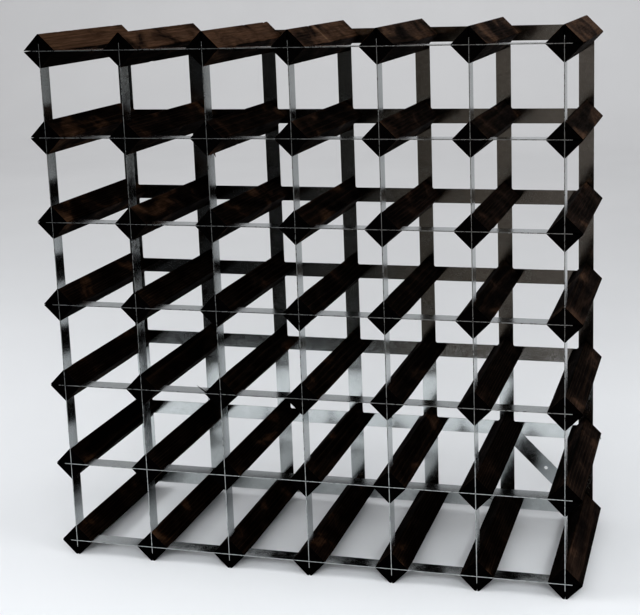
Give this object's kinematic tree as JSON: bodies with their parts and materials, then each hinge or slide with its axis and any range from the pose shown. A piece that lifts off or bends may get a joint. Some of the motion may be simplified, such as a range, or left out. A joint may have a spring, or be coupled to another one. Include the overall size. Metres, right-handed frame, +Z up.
{
  "type": "wine rack",
  "caption": "Free-standing lattice wine rack: square dark-stained wooden bars on edge, held by galvanised steel strips, cradle bottles lying front to back.",
  "frame": {"origin": "middle of the rack's outer box, on the floor it stands on", "axes": "+Z up, +X to the right seen from the front, the front of the rack faces -Y"},
  "size_m": [0.6136, 0.2148, 0.6118],
  "materials": {
    "stained_wood": "dark stained pine, satin, near black end grain",
    "galvanised_steel": "bright galvanised with faint spangle",
    "nail_steel": "galvanised clout nail"
  },
  "bodies": {
    "root": {"bar_row1_col1": "stained_wood", "bar_row1_col2": "stained_wood", "bar_row1_col3": "stained_wood", "bar_row1_col4": "stained_wood", "bar_row1_col5": "stained_wood", "bar_row1_col6": "stained_wood", "bar_row1_col7": "stained_wood", "bar_row2_col1": "stained_wood", "bar_row2_col2": "stained_wood", "bar_row2_col3": "stained_wood", "bar_row2_col4": "stained_wood", "bar_row2_col5": "stained_wood", "bar_row2_col6": "stained_wood", "bar_row2_col7": "stained_wood", "bar_row3_col1": "stained_wood", "bar_row3_col2": "stained_wood", "bar_row3_col3": "stained_wood", "bar_row3_col4": "stained_wood", "bar_row3_col5": "stained_wood", "bar_row3_col6": "stained_wood", "bar_row3_col7": "stained_wood", "bar_row4_col1": "stained_wood", "bar_row4_col2": "stained_wood", "bar_row4_col3": "stained_wood", "bar_row4_col4": "stained_wood", "bar_row4_col5": "stained_wood", "bar_row4_col6": "stained_wood", "bar_row4_col7": "stained_wood", "bar_row5_col1": "stained_wood", "bar_row5_col2": "stained_wood", "bar_row5_col3": "stained_wood", "bar_row5_col4": "stained_wood", "bar_row5_col5": "stained_wood", "bar_row5_col6": "stained_wood", "bar_row5_col7": "stained_wood", "bar_row6_col1": "stained_wood", "bar_row6_col2": "stained_wood", "bar_row6_col3": "stained_wood", "bar_row6_col4": "stained_wood", "bar_row6_col5": "stained_wood", "bar_row6_col6": "stained_wood", "bar_row6_col7": "stained_wood", "bar_row7_col1": "stained_wood", "bar_row7_col2": "stained_wood", "bar_row7_col3": "stained_wood", "bar_row7_col4": "stained_wood", "bar_row7_col5": "stained_wood", "bar_row7_col6": "stained_wood", "bar_row7_col7": "stained_wood", "front_uprights": "galvanised_steel", "front_crossbars": "galvanised_steel", "rear_uprights": "galvanised_steel", "rear_crossbars": "galvanised_steel", "corner_brace": "galvanised_steel", "rear_nails": "nail_steel"}
  },
  "joints": []
}
